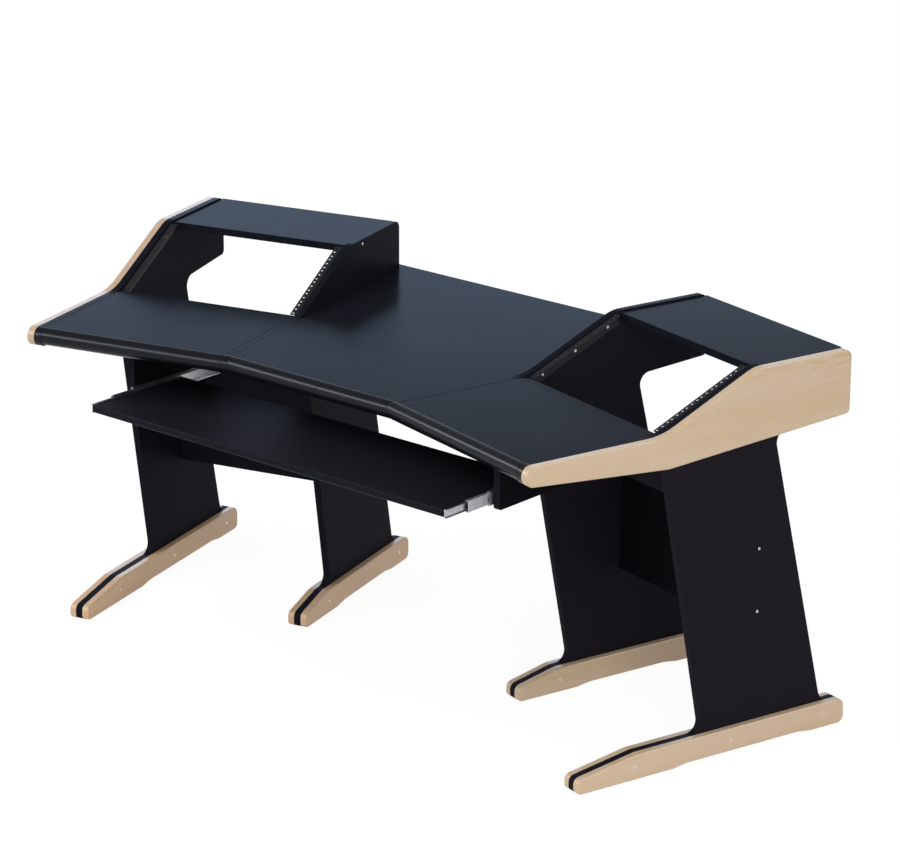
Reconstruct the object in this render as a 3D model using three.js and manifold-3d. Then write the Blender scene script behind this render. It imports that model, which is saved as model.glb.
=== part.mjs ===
// A studio desk: a middle section, two turned wings with sloping rack bays, and a sliding keyboard tray.
// Lengths are in millimetres, +X is to the user's right, +Y to the rear and +Z up, with the floor at zero.
import * as THREE from 'three';
import { mergeVertices } from 'three/addons/utils/BufferGeometryUtils.js';
import Module from 'manifold-3d';

const wasm = await Module();
wasm.setup();

const degree = Math.PI / 180;

// Plan. A wing is laid out along its own front line: "out" runs away from the middle, "deep" to the rear.
const wingAngle = 15 * degree;
const centreHalfWidth = 250;
const boardThickness = 18;
const cheekThickness = 20;
const worktopHeight = 799;
const worktopThickness = 25;
const fitGap = 0.3;
const curveTolerance = 0.15;
const cutOverrun = 5;

// Rack bays: standard 19-inch equipment on a slope.
const rackUnitHeight = 44.45;
const rackUnits = 6;
const rackEndClearance = 6;
const rackSlope = 24.5 * degree;
const rackFront = 375;
const rackHoleMargin = 14.05;
const rackScrewSpacing = 465.1;
const rackFirstHole = 6.35;
const rackHoleStep = 15.875;
const rackHolesPerUnit = 3;
const rackHoleRadius = 3;
const rackHoleSides = 8;
const rackPanelThickness = 3;
const rackRailFlange = 20.5;
const rackRailLeg = 28;
const rackRailSheet = 2;

// Side boards.
const noseRadius = 23.5;
const nosingRadius = 21.5;
const underKinkOffset = 11;
const underKinkDrop = 75.3;
const underRearRise = 38.9;
const legOverhang = 201;
const legHeelSetback = 40.4;
const legFootWidth = 346;
const legTopFillet = 15;
const footFillet = 28;
const slopeFootRadius = 180;
const slopeHeadRadius = 100;
const underKinkRadius = 60;
const rearTopRadius = 20;
const rearBottomRadius = 12;
const edgeRadius = 3;
const edgeRoundSteps = 3;

// Feet. The outer pair reaches further forward than the inner pair.
const footHeight = 61;
const footPlateThickness = 18;
const heelReach = 18.5;
const outerToe = { front: 151, slope: 167, pad: 268 };
const innerToe = { front: 349, slope: 114, pad: 170 };
const toeHeight = 35.5;
const toeTopRadius = 16;
const toeBottomRadius = 12;
const toeKinkRadius = 60;
const heelTopRadius = 20;
const heelBottomRadius = 17;
const heelPad = 97;
const reliefHeight = 5.5;
const reliefRamp = 38;

// Shelf, rails and panels between the boards of a wing.
const shelfThickness = 18;
const shelfDepth = 256.6;
const shelfDrop = 4;
const shelfRearClearance = 2;
const railThickness = 18;
const frontRailHeight = 65;
const frontRailDrop = 141;
const rearPanelDepth = 652;
const rearPanelFoot = 271.5;
const rearPanelHeight = 261;
const stretcherHeight = 130;

// Keyboard tray and its slides.
const trayDepth = 300;
const trayThickness = 18;
const trayDrop = 163.3;
const trayEdgeRadius = 3;
const trayFront = -8;
const trayPulledOut = 139;
const bracketInner = 565;
const bracketThickness = 18;
const bracketBelowTray = 18;
const bracketFront = 4;
const bracketLength = 306;
const bracketCorner = 8;
const slideLength = 300;
const slideGap = 12.7;
const slideHeight = 36;
const slideSheet = 1.2;
const ballRadius = 1.5;
const ballClearance = 0.2;
const ballsPerRow = 7;
const outerBallInset = 3.6;
const innerBallInset = 4.1;
const ballRowStep = 3.5;
const middleWebInset = 3;
const innerWebDrop = 3;
const cageSheet = 0.6;
const cageLength = 130;
const cageStart = 92;
const cageArmDrop = 1.1;
const outerCageInset = 1.8;
const innerCageInset = 4.4;

// Where each raceway starts and ends round its ball, in degrees.
const outerRaceAngles = [20, 150];
const middleInnerRaceAngles = [20, 120];
const middleOuterRaceAngles = [340, 262];
const innerRaceAngles = [225, 320];

// How far each sliding member has moved, as a share of the tray's own travel.
const travelShares = { outer: 0, outerCage: 0.25, middle: 0.5, innerCage: 0.75, inner: 1 };

// Sizes that follow from the ones above.
const rackBayWidth = rackScrewSpacing + 2 * rackHoleMargin;
const slopeLength = rackUnits * rackUnitHeight + 2 * rackEndClearance;
const slopeHeadDepth = rackFront + slopeLength * Math.cos(rackSlope);
const boardTop = worktopHeight + slopeLength * Math.sin(rackSlope);
const shelfFront = slopeHeadDepth + (shelfDrop + shelfThickness) * Math.tan(rackSlope);
const boardDepth = shelfFront + shelfDepth + shelfRearClearance;
const underKinkDepth = rackFront + underKinkOffset;
const underKinkHeight = worktopHeight - underKinkDrop;
const underRearHeight = underKinkHeight + underRearRise;
const legRearTop = boardDepth - legOverhang;
const legRearFoot = boardDepth - legHeelSetback;
const legFrontFoot = legRearFoot - legFootWidth;
const footRear = boardDepth + heelReach;
const frontRailFoot = worktopHeight - frontRailDrop;
const trayFoot = worktopHeight - trayDrop;
const trayMiddle = trayFoot + trayThickness / 2;
const bracketFoot = trayFoot - bracketBelowTray;
const worktopUnderside = worktopHeight - worktopThickness;
const outerBoardStart = boardThickness + rackBayWidth;
const trayHalfWidth = bracketInner - slideGap;
const slideWidth = slideGap - 2 * fitGap;
const raceRadius = ballRadius + ballClearance + slideSheet / 2;

const black = new THREE.MeshStandardMaterial({ color: 0x1b1c1f, roughness: 0.5, metalness: 0 });
const maple = new THREE.MeshStandardMaterial({ color: 0xd9bd93, roughness: 0.55, metalness: 0 });
const steel = new THREE.MeshStandardMaterial({ color: 0xb9bcc0, roughness: 0.35, metalness: 1 });
const blackSteel = new THREE.MeshStandardMaterial({ color: 0x242528, roughness: 0.45, metalness: 0.6 });

// Outlines

// Points along an arc, with each chord within the tolerance of the true curve.
function arc(x, y, radius, from, to) {
  const chord = 2 * Math.acos(1 - Math.min(curveTolerance / radius, 1));
  const steps = Math.max(1, Math.ceil(Math.abs(to - from) / chord));
  return Array.from({ length: steps + 1 }, (_, i) => {
    const angle = from + ((to - from) * i) / steps;
    return [x + radius * Math.cos(angle), y + radius * Math.sin(angle)];
  });
}

// A closed outline from corners [x, y, radius], where a corner without a radius stays sharp.
function rounded(corners) {
  return corners.flatMap(([x, y, radius], i) => {
    if (!radius) return [[x, y]];
    const corner = new THREE.Vector2(x, y);
    const towards = ([nearX, nearY]) => new THREE.Vector2(nearX, nearY).sub(corner).normalize();
    const back = towards(corners.at(i - 1));
    const ahead = towards(corners.at((i + 1) % corners.length));
    const half = Math.acos(back.dot(ahead)) / 2;
    const middle = back.clone().add(ahead).normalize();
    const centre = corner.clone().addScaledVector(middle, radius / Math.sin(half));
    const start = corner.clone().addScaledVector(back, radius / Math.tan(half)).sub(centre);
    const end = corner.clone().addScaledVector(ahead, radius / Math.tan(half)).sub(centre);
    const from = Math.atan2(start.y, start.x);
    const turn = Math.atan2(start.cross(end), start.dot(end));
    return arc(centre.x, centre.y, radius, from, from + turn);
  });
}

// The outline of a thin sheet that follows a line of points.
function sheetOutline(line, thickness) {
  const points = line.map(([x, y]) => new THREE.Vector2(x, y));
  const sides = points.map((point, i) => {
    const before = points[Math.max(i - 1, 0)];
    const after = points[Math.min(i + 1, points.length - 1)];
    const arriving = (i ? point.clone().sub(before) : after.clone().sub(point)).normalize();
    const leaving = (i < points.length - 1 ? after.clone().sub(point) : arriving.clone()).normalize();
    const along = arriving.clone().add(leaving).normalize();
    const reach = thickness / 2 / along.dot(leaving);
    const across = new THREE.Vector2(-along.y, along.x).multiplyScalar(reach);
    return [point.clone().add(across), point.clone().sub(across)];
  });
  return [...sides.map(([left]) => left.toArray()), ...sides.map(([, right]) => right.toArray()).reverse()];
}

// A half line and its reflection below, as one line.
function mirroredLine(half) {
  return [...half, ...half.map(([x, y]) => [x, -y]).reverse()];
}

const shapeOf = (points) => new THREE.Shape(points.map(([x, y]) => new THREE.Vector2(x, y)));

// Solids

// An outline in depth and height, made into a board that runs from zero towards +X.
function board(points, thickness, options = {}) {
  const sizes = { depth: thickness, bevelEnabled: false, ...options };
  const geometry = new THREE.ExtrudeGeometry(shapeOf(points), sizes);
  const depthAxis = new THREE.Vector3(0, 1, 0);
  const heightAxis = new THREE.Vector3(0, 0, 1);
  const outAxis = new THREE.Vector3(1, 0, 0);
  return geometry.applyMatrix4(new THREE.Matrix4().makeBasis(depthAxis, heightAxis, outAxis));
}

// A section in X and Z, made into a bar that runs from zero towards +Y.
function bar(points, length) {
  const geometry = new THREE.ExtrudeGeometry(shapeOf(points), { depth: length, bevelEnabled: false });
  return geometry.rotateX(Math.PI / 2).translate(0, length, 0);
}

function block(out, deep, up) {
  const sizes = [out, deep, up].map(([low, high]) => high - low);
  const middles = [out, deep, up].map(([low, high]) => (low + high) / 2);
  return new THREE.BoxGeometry(...sizes).translate(...middles);
}

function solidOf(geometry) {
  const bare = geometry.clone();
  bare.deleteAttribute('normal');
  bare.deleteAttribute('uv');
  const merged = mergeVertices(bare);
  const vertProperties = merged.attributes.position.array;
  const triVerts = Uint32Array.from(merged.index.array);
  return new wasm.Manifold(new wasm.Mesh({ numProp: 3, vertProperties, triVerts }));
}

function geometryOf(solid) {
  const mesh = solid.getMesh();
  const geometry = new THREE.BufferGeometry();
  geometry.setAttribute('position', new THREE.BufferAttribute(mesh.vertProperties, 3));
  geometry.setIndex(new THREE.BufferAttribute(mesh.triVerts, 1));
  return geometry.toNonIndexed();
}

// A board whose outer edges are rounded and whose inner face, at zero, stays square.
function easedBoard(points, thickness) {
  const bevel = { bevelThickness: edgeRadius, bevelSize: edgeRadius, bevelOffset: -edgeRadius };
  const options = { ...bevel, bevelEnabled: true, bevelSegments: edgeRoundSteps };
  const geometry = board(points, thickness - edgeRadius, options);
  geometry.computeBoundingBox();
  const { min, max } = geometry.boundingBox;
  const deep = [min.y - cutOverrun, max.y + cutOverrun];
  const up = [min.z - cutOverrun, max.z + cutOverrun];
  const waste = block([-edgeRadius - cutOverrun, 0], deep, up);
  return geometryOf(solidOf(geometry).subtract(solidOf(waste)));
}

// The same piece for the other hand.
function mirrored(geometry) {
  const positions = (geometry.index ? geometry.toNonIndexed() : geometry).attributes.position;
  const flipped = new Float32Array(positions.array.length);
  const order = [0, 2, 1];
  for (let i = 0; i < positions.count; i += 1) {
    const from = i - (i % order.length) + order[i % order.length];
    flipped.set([-positions.getX(from), positions.getY(from), positions.getZ(from)], i * 3);
  }
  return new THREE.BufferGeometry().setAttribute('position', new THREE.BufferAttribute(flipped, 3));
}

function part(name, geometry, material) {
  const mesh = new THREE.Mesh(geometry, material);
  mesh.name = name;
  return mesh;
}

// Side boards, cheeks and feet

const nose = (radius) => arc(radius, worktopHeight - radius, radius, Math.PI / 2, 1.5 * Math.PI);

// Where the front edge of a leg is at a height.
const legFrontAt = (height) => underKinkDepth
  + ((underKinkHeight - height) * (legFrontFoot - underKinkDepth)) / (underKinkHeight - footHeight);

const undersideAt = (depth) => underKinkHeight
  + ((depth - underKinkDepth) * (underRearHeight - underKinkHeight)) / (boardDepth - underKinkDepth);

// From the rear lower corner over the shelf and down the rack slope.
function upperEdge() {
  return [
    [boardDepth, underRearHeight, rearBottomRadius],
    [boardDepth, boardTop, rearTopRadius],
    [slopeHeadDepth, boardTop, slopeHeadRadius],
    [rackFront, worktopHeight, slopeFootRadius],
  ];
}

// From the top of the toe's slope round the sole to the heel.
function sole(toe) {
  const padEnd = toe.front + toe.pad;
  const heelStart = footRear - heelPad;
  return [
    [toe.front + toe.slope, footHeight, toeKinkRadius],
    [toe.front, toeHeight, toeTopRadius],
    [toe.front, 0, toeBottomRadius],
    [padEnd, 0],
    [padEnd + reliefRamp, reliefHeight],
    [heelStart - reliefRamp, reliefHeight],
    [heelStart, 0],
    [footRear, 0, heelBottomRadius],
    [footRear, footHeight, heelTopRadius],
  ];
}

function sideBoard(radius, toe) {
  return board(rounded([
    ...nose(radius),
    [underKinkDepth, underKinkHeight, legTopFillet],
    [legFrontFoot, footHeight, footFillet],
    ...sole(toe),
    [legRearFoot, footHeight, footFillet],
    [legRearTop, undersideAt(legRearTop), legTopFillet],
    ...upperEdge(),
  ]), boardThickness);
}

function cheek() {
  const corners = [...nose(noseRadius), [underKinkDepth, underKinkHeight, underKinkRadius], ...upperEdge()];
  return easedBoard(rounded(corners), cheekThickness);
}

const footPlate = (toe) => easedBoard(rounded(sole(toe)), footPlateThickness);

// Worktop, edging, shelves and rails

const nosingOutline = () => nose(nosingRadius);

// Half the width of the middle section at a depth, clear of the folds.
const foldAt = (deep) => centreHalfWidth + deep * Math.tan(wingAngle) - fitGap / Math.cos(wingAngle);

// A board two units wide, stretched from fold to fold so that its ends are mitred.
function betweenFolds(geometry) {
  const positions = geometry.attributes.position;
  for (let i = 0; i < positions.count; i += 1) {
    positions.setX(i, (positions.getX(i) - 1) * foldAt(positions.getY(i)));
  }
  return geometry;
}

function rectangle(deep, up) {
  return [[deep[0], up[0]], [deep[1], up[0]], [deep[1], up[1]], [deep[0], up[1]]];
}

function middleSection() {
  const boardsEnd = boardDepth * Math.cos(wingAngle);
  const topOutline = rectangle([nosingRadius + fitGap, boardsEnd], [worktopUnderside, worktopHeight]);
  const stretcherFront = rearPanelDepth * Math.cos(wingAngle);
  const stretcherTop = worktopUnderside - fitGap;
  const stretcherOutline = rectangle(
    [stretcherFront, stretcherFront + railThickness],
    [stretcherTop - stretcherHeight, stretcherTop],
  );
  const group = new THREE.Group();
  group.add(part('centre_worktop', betweenFolds(board(topOutline, 2)), black));
  group.add(part('centre_nosing', betweenFolds(board(nosingOutline(), 2)), black));
  group.add(part('centre_stretcher', betweenFolds(board(stretcherOutline, 2)), black));
  return group;
}

// A rack rail beside the board at zero: a flange with tapped holes and a leg that is screwed to the board.
function rackRail() {
  const top = -rackPanelThickness - rackRailSheet / 2;
  const line = [
    [rackRailFlange, top],
    [fitGap + rackRailSheet / 2, top],
    [fitGap + rackRailSheet / 2, top - rackRailLeg],
  ];
  const length = rackUnits * rackUnitHeight;
  const holeDepth = rackRailSheet + 2 * cutOverrun;
  let rail = solidOf(bar(sheetOutline(line, rackRailSheet), length));
  for (let unit = 0; unit < rackUnits; unit += 1) {
    for (let hole = 0; hole < rackHolesPerUnit; hole += 1) {
      const along = unit * rackUnitHeight + rackFirstHole + hole * rackHoleStep;
      const drill = new THREE.CylinderGeometry(rackHoleRadius, rackHoleRadius, holeDepth, rackHoleSides);
      drill.rotateX(Math.PI / 2).translate(rackHoleMargin, along, top);
      rail = rail.subtract(solidOf(drill));
    }
  }
  return geometryOf(rail).translate(0, rackEndClearance, 0);
}

// Wings

function wing(side) {
  const sign = side === 'left' ? -1 : 1;
  const handed = (geometry) => (sign < 0 ? mirrored(geometry) : geometry);
  const group = new THREE.Group();
  group.position.x = sign * centreHalfWidth;
  group.rotation.z = -sign * wingAngle;
  const add = (name, geometry, material) => group.add(part(`${side}_${name}`, handed(geometry), material));

  const between = [boardThickness + fitGap, outerBoardStart - fitGap];
  const across = between[1] - between[0];
  add('inner_side_board', sideBoard(nosingRadius, innerToe), black);
  add('outer_side_board', sideBoard(noseRadius, outerToe).translate(outerBoardStart, 0, 0), black);
  add('cheek', cheek().translate(outerBoardStart + boardThickness + fitGap, 0, 0), maple);
  add('nosing', board(nosingOutline(), across).translate(between[0], 0, 0), black);
  const topDeep = [nosingRadius + fitGap, rackFront];
  add('worktop', block(between, topDeep, [worktopUnderside, worktopHeight]), black);
  const shelfTop = boardTop - shelfDrop;
  const shelfDeep = [shelfFront, boardDepth - shelfRearClearance];
  add('shelf', block(between, shelfDeep, [shelfTop - shelfThickness, shelfTop]), black);
  const railDeep = [legFrontAt(frontRailFoot), legFrontAt(frontRailFoot) + railThickness];
  add('front_rail', block(between, railDeep, [frontRailFoot, frontRailFoot + frontRailHeight]), black);
  const panelDeep = [rearPanelDepth, rearPanelDepth + railThickness];
  add('rear_panel', block(between, panelDeep, [rearPanelFoot, rearPanelFoot + rearPanelHeight]), black);

  for (const [place, start, toe] of [['inner', 0, innerToe], ['outer', outerBoardStart, outerToe]]) {
    const outwards = footPlate(toe).translate(start + boardThickness + fitGap, 0, 0);
    const inwards = mirrored(footPlate(toe)).translate(start - fitGap, 0, 0);
    add(`${place}_foot_outer_plate`, outwards, maple);
    add(`${place}_foot_inner_plate`, inwards, maple);
  }

  const slope = new THREE.Group();
  slope.position.set(0, rackFront, worktopHeight);
  slope.rotation.x = rackSlope;
  const innerRail = rackRail().translate(boardThickness, 0, 0);
  const outerRail = mirrored(rackRail()).translate(outerBoardStart, 0, 0);
  slope.add(part(`${side}_inner_rack_rail`, handed(innerRail), blackSteel));
  slope.add(part(`${side}_outer_rack_rail`, handed(outerRail), blackSteel));
  group.add(slope);
  return group;
}

// Keyboard tray and slides

// Rows of balls, measured from the bracket and from the middle height of the slide.
const outerBalls = [outerBallInset, slideHeight / 2 - slideSheet / 2 - raceRadius];
const innerBalls = [slideWidth - innerBallInset, outerBalls[1] - ballRowStep];

const raceway = ([inset, height], [from, to]) => arc(inset, height, raceRadius, from * degree, to * degree);

// Each member's sheet, from its upper lip to its lower one.
function memberLines() {
  const middleWebTop = outerBalls[1] - raceRadius - slideSheet / 2;
  return {
    outer: mirroredLine([...raceway(outerBalls, outerRaceAngles), [slideSheet / 2, outerBalls[1]]]),
    middle: mirroredLine([
      ...raceway(innerBalls, middleInnerRaceAngles),
      ...raceway(outerBalls, middleOuterRaceAngles),
      [middleWebInset, middleWebTop],
    ]),
    inner: mirroredLine([
      ...raceway(innerBalls, innerRaceAngles),
      [slideWidth - slideSheet / 2, innerBalls[1] - innerWebDrop],
    ]),
  };
}

// Turns insets from the right-hand bracket into X and heights into Z.
function slideSection(line, thickness) {
  const placed = line.map(([inset, height]) => [bracketInner - fitGap - inset, trayMiddle + height]);
  return sheetOutline(placed, thickness);
}

const slid = (share) => trayFront - share * trayPulledOut;

const slideMember = (line, share) => bar(slideSection(line, slideSheet), slideLength).translate(0, slid(share), 0);

// A strip that holds two rows of balls.
function ballCage(balls, inset, share) {
  const line = mirroredLine([balls, [inset, balls[1] - cageArmDrop]]);
  const pitch = cageLength / ballsPerRow;
  let cage = solidOf(bar(slideSection(line, cageSheet), cageLength));
  for (let i = 0; i < ballsPerRow; i += 1) {
    for (const height of [balls[1], -balls[1]]) {
      const ball = new THREE.OctahedronGeometry(ballRadius, 1);
      ball.translate(bracketInner - fitGap - balls[0], pitch * (i + 1 / 2), trayMiddle + height);
      cage = cage.add(solidOf(ball));
    }
  }
  return geometryOf(cage).translate(0, cageStart - trayFront + slid(share), 0);
}

function trayBracket() {
  const rear = bracketFront + bracketLength;
  const top = worktopUnderside - fitGap;
  const corners = [
    [bracketFront, bracketFoot, bracketCorner],
    [rear, bracketFoot, bracketCorner],
    [rear, top],
    [bracketFront, top],
  ];
  return board(rounded(corners), bracketThickness).translate(bracketInner, 0, 0);
}

function keyboardTray() {
  const front = slid(travelShares.inner);
  const outline = rounded([
    [front, trayFoot, trayEdgeRadius],
    [front + trayDepth, trayFoot],
    [front + trayDepth, trayFoot + trayThickness],
    [front, trayFoot + trayThickness, trayEdgeRadius],
  ]);
  return board(outline, 2 * trayHalfWidth).translate(-trayHalfWidth, 0, 0);
}

function slides(side) {
  const handed = (geometry) => (side === 'left' ? mirrored(geometry) : geometry);
  const lines = memberLines();
  const pieces = {
    tray_bracket: [trayBracket(), black],
    slide_outer: [slideMember(lines.outer, travelShares.outer), steel],
    slide_outer_cage: [ballCage(outerBalls, outerCageInset, travelShares.outerCage), steel],
    slide_middle: [slideMember(lines.middle, travelShares.middle), steel],
    slide_inner_cage: [ballCage(innerBalls, innerCageInset, travelShares.innerCage), steel],
    slide_inner: [slideMember(lines.inner, travelShares.inner), steel],
  };
  const group = new THREE.Group();
  for (const [name, [geometry, material]] of Object.entries(pieces)) {
    group.add(part(`${side}_${name}`, handed(geometry), material));
  }
  return group;
}

// Assembly, with the origin on the floor below the middle of its outline.
const desk = new THREE.Group();
desk.add(middleSection(), part('keyboard_tray', keyboardTray(), black));
for (const side of ['left', 'right']) desk.add(wing(side), slides(side));
desk.updateMatrixWorld(true);
const extent = new THREE.Box3().setFromObject(desk, true);
desk.position.y = -(extent.min.y + extent.max.y) / 2;

export default desk;
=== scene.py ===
import math

import bmesh
import bpy
from bpy.props import FloatProperty, FloatVectorProperty, PointerProperty
from mathutils import Matrix, Vector


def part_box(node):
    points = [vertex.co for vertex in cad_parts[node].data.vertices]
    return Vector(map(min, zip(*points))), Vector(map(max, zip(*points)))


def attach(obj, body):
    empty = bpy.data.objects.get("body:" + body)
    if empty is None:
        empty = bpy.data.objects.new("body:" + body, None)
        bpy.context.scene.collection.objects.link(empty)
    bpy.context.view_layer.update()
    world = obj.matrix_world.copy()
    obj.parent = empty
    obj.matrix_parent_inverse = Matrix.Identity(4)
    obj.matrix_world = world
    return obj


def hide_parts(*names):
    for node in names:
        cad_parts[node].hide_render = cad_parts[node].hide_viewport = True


bl_info = {
    "name": "Studio desk",
    "version": (1, 0, 0),
    "blender": (4, 5, 0),
    "location": "View3D > Sidebar > Studio desk",
    "description": "Boards, maple trim, slides, rails and screws of a studio desk with two rack wings",
    "category": "Object",
}

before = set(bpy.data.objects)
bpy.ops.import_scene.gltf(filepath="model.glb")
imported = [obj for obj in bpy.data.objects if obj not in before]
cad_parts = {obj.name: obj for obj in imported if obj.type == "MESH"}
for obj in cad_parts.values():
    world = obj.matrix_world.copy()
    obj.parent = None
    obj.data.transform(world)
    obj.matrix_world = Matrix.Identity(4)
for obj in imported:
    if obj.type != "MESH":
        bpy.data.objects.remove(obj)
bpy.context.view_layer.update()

MM = 0.001
SIDES = ("left", "right")
NOSING_RADIUS = 21.5 * MM
FIT_GAP = 0.3 * MM
WING_TURN = math.radians(15)
CENTRE_HALF_WIDTH = 250 * MM
DESK_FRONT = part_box("centre_worktop")[0].y - NOSING_RADIUS - FIT_GAP
SMOOTH_BELOW = math.radians(40)
ARC_STEP = math.radians(5)
SAME_PLACE = 0.02 * MM
MERGE_GAP = 0.01 * MM
OVERSIZE = 1.1


# Places: every piece is modelled for the right-hand side, then seated on either side.

def desk_place(side="right"):
    """Takes a point measured from the middle of the front line to the frame of the desk."""
    place = Matrix.Translation((0, DESK_FRONT, 0))
    return Matrix.Scale(-1, 4, (1, 0, 0)) @ place if side == "left" else place


def wing_place(side):
    """Takes a point measured out, deep and up along a wing to the frame of the desk."""
    turned = Matrix.Translation((CENTRE_HALF_WIDTH, 0, 0)) @ Matrix.Rotation(-WING_TURN, 4, "Z")
    return desk_place(side) @ turned


def local_box(node, place):
    """Lowest and highest corner of a CAD node along the axes of a place."""
    back = place.inverted()
    points = [back @ vertex.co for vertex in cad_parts[node].data.vertices]
    return Vector(map(min, zip(*points))), Vector(map(max, zip(*points)))


def wing_box(name):
    return local_box(f"right_{name}", wing_place("right"))


def desk_box(node):
    return local_box(node, desk_place())


# Settings

def length(name, description, default):
    return FloatProperty(
        name=name, description=description, default=default, min=0, unit="LENGTH", precision=4)


def colour(name, description, default):
    return FloatVectorProperty(
        name=name, description=description, default=default, min=0, max=1, size=3, subtype="COLOR")


def power(name, description, default):
    return FloatProperty(name=name, description=description, default=default, min=0, unit="POWER")


def share(name, description, default):
    return FloatProperty(
        name=name, description=description, default=default, min=0, max=1, subtype="FACTOR")


class DESK_PG_boards(bpy.types.PropertyGroup):
    nose_radius: length("Outer nose radius", "Radius of the front of outer boards and cheeks", 23.5 * MM)
    slope_foot_radius: length("Slope foot radius", "Radius where the rack slope begins", 180 * MM)
    slope_head_radius: length("Slope head radius", "Radius where the rack slope ends", 100 * MM)
    rear_top_radius: length("Rear top radius", "Radius of the upper rear corner", 20 * MM)
    rear_bottom_radius: length("Rear bottom radius", "Radius of the lower rear corner", 12 * MM)
    kink_radius: length("Underside radius", "Radius of the bend under a cheek", 60 * MM)
    leg_fillet: length("Leg fillet", "Radius in front of a leg's head, at the underside", 15 * MM)
    foot_fillet: length("Foot fillet", "Radius at a leg's foot and behind its head", 28 * MM)
    edge: length("Edge easing", "Rounding of the laminate's edges", 0.9 * MM)


class DESK_PG_maple(bpy.types.PropertyGroup):
    cheek_edge: length("Cheek edge", "Rounding of a cheek's outer edges", 5 * MM)
    plate_edge: length("Foot plate edge", "Rounding of a foot plate's outer edges", 4.5 * MM)
    seam_edge: length("Seam edge", "Easing where maple lies against a black board", 0.4 * MM)


class DESK_PG_hardware(bpy.types.PropertyGroup):
    screw_head: length("Screw head", "Diameter of the screw heads", 7 * MM)
    screw_rise: length("Screw rise", "How far a screw head stands proud", 1.2 * MM)
    slide_sheet: length("Slide sheet", "Thickness of the steel of the slides", 1.2 * MM)
    rail_sheet: length("Rail sheet", "Thickness of the steel of the rack rails", 2 * MM)
    rail_hole: length("Rail hole", "Diameter of the holes in the rack rails", 6 * MM)


class DESK_PG_finish(bpy.types.PropertyGroup):
    board: colour("Right boards", "Colour of the tray and the right boards", (0.0136, 0.0122, 0.0168))
    # Painted shade: the left boards are the same laminate as the right ones, painted darker and bluer for
    # the lower light on the left wing.
    left_board_painted_shade: colour("Left boards", "Colour of the boards on the left", (0.0097, 0.0101, 0.0148))
    board_gloss: share("Board gloss", "How much the boards reflect", 0.012)
    board_roughness: share("Board roughness", "How matt the boards are", 0.42)
    top: colour("Worktop", "Colour of the worktops and shelves", (0.0095, 0.0108, 0.0155))
    top_gloss: share("Worktop gloss", "How much the worktops reflect", 0.0058)
    top_roughness: share("Worktop roughness", "How matt the worktops are", 0.2)
    edging: colour("Front edging", "Colour of the rounded front edging", (0.0068, 0.0076, 0.0108))
    edging_gloss: share("Edging gloss", "How much the front edging reflects", 0.15)
    edging_roughness: share("Edging roughness", "How matt the front edging is", 0.25)
    maple: colour("Maple", "Colour of the cheeks and foot plates", (0.62, 0.468, 0.325))
    maple_dark: colour("Maple line", "Colour of the darker growth lines", (0.55, 0.375, 0.17))
    maple_roughness: share("Maple roughness", "How matt the lacquer on the maple is", 0.3)
    zinc: colour("Zinc", "Colour of the slides", (0.72, 0.73, 0.78))
    powder: colour("Powder coat", "Colour of the rack rails", (0.014, 0.014, 0.016))
    nickel: colour("Nickel", "Colour of the screws", (0.86, 0.86, 0.86))


class DESK_PG_stage(bpy.types.PropertyGroup):
    floor: colour("Floor", "Colour of the floor", (0.8, 0.8, 0.8))
    sky: share("Sky light", "Strength of the light from all round", 0.62)
    key: power("Key light", "Power of the large lamp above", 75)
    fill: power("Fill light", "Power of the lamp on the right", 70)
    strip: power("Strip light", "Power of the long lamp in front", 150)
    rear: power("Rear light", "Power of the cool lamp behind on the left", 35)
    rim: power("Rim light", "Power of the lamp above on the right, behind", 120)
    lens: FloatProperty(
        name="Lens", description="Focal length for a sensor 36 mm wide", default=145.871, unit="CAMERA")


class DESK_PG_settings(bpy.types.PropertyGroup):
    boards: PointerProperty(type=DESK_PG_boards)
    maple: PointerProperty(type=DESK_PG_maple)
    hardware: PointerProperty(type=DESK_PG_hardware)
    finish: PointerProperty(type=DESK_PG_finish)
    stage: PointerProperty(type=DESK_PG_stage)


def settings():
    return bpy.context.scene.studio_desk


# Modelling

def only(piece):
    """Leaves one piece selected and active, in object mode."""
    if bpy.context.object and bpy.context.object.mode != "OBJECT":
        bpy.ops.object.mode_set(mode="OBJECT")
    bpy.ops.object.select_all(action="DESELECT")
    if piece:
        piece.select_set(True)
        bpy.context.view_layer.objects.active = piece


def edit(piece, mode="VERT"):
    only(piece)
    bpy.ops.object.mode_set(mode="EDIT")
    bpy.ops.mesh.select_mode(type=mode)


def near(value, target):
    return abs(value - target) < SAME_PLACE


def pick_edges(piece, wanted):
    """Selects the edges whose two ends pass the test."""
    edit(piece, "EDGE")
    bpy.ops.mesh.select_all(action="DESELECT")
    mesh = bmesh.from_edit_mesh(piece.data)
    for line in mesh.edges:
        line.select = wanted(*(vertex.co for vertex in line.verts))
    mesh.select_flush_mode()
    bmesh.update_edit_mesh(piece.data)


def pick_faces(piece, wanted):
    """Selects the faces whose middle and normal pass the test."""
    edit(piece, "FACE")
    bpy.ops.mesh.select_all(action="DESELECT")
    mesh = bmesh.from_edit_mesh(piece.data)
    mesh.normal_update()
    for face in mesh.faces:
        face.select = wanted(face.calc_center_median(), face.normal)
    mesh.select_flush_mode()
    bmesh.update_edit_mesh(piece.data)


def round_edges(piece, wanted, width, steps):
    pick_edges(piece, wanted)
    bpy.ops.mesh.bevel(offset=width, segments=steps, profile=0.5, affect="EDGES", clamp_overlap=False)
    only(piece)


def round_all(piece, width, steps=2):
    """Rounds every sharp edge of a piece."""
    only(piece)
    rounding = piece.modifiers.new("Edges", "BEVEL")
    rounding.width = width
    rounding.segments = steps
    rounding.limit_method = "ANGLE"
    rounding.angle_limit = SMOOTH_BELOW
    rounding.use_clamp_overlap = False
    bpy.ops.object.modifier_apply(modifier=rounding.name)


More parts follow.
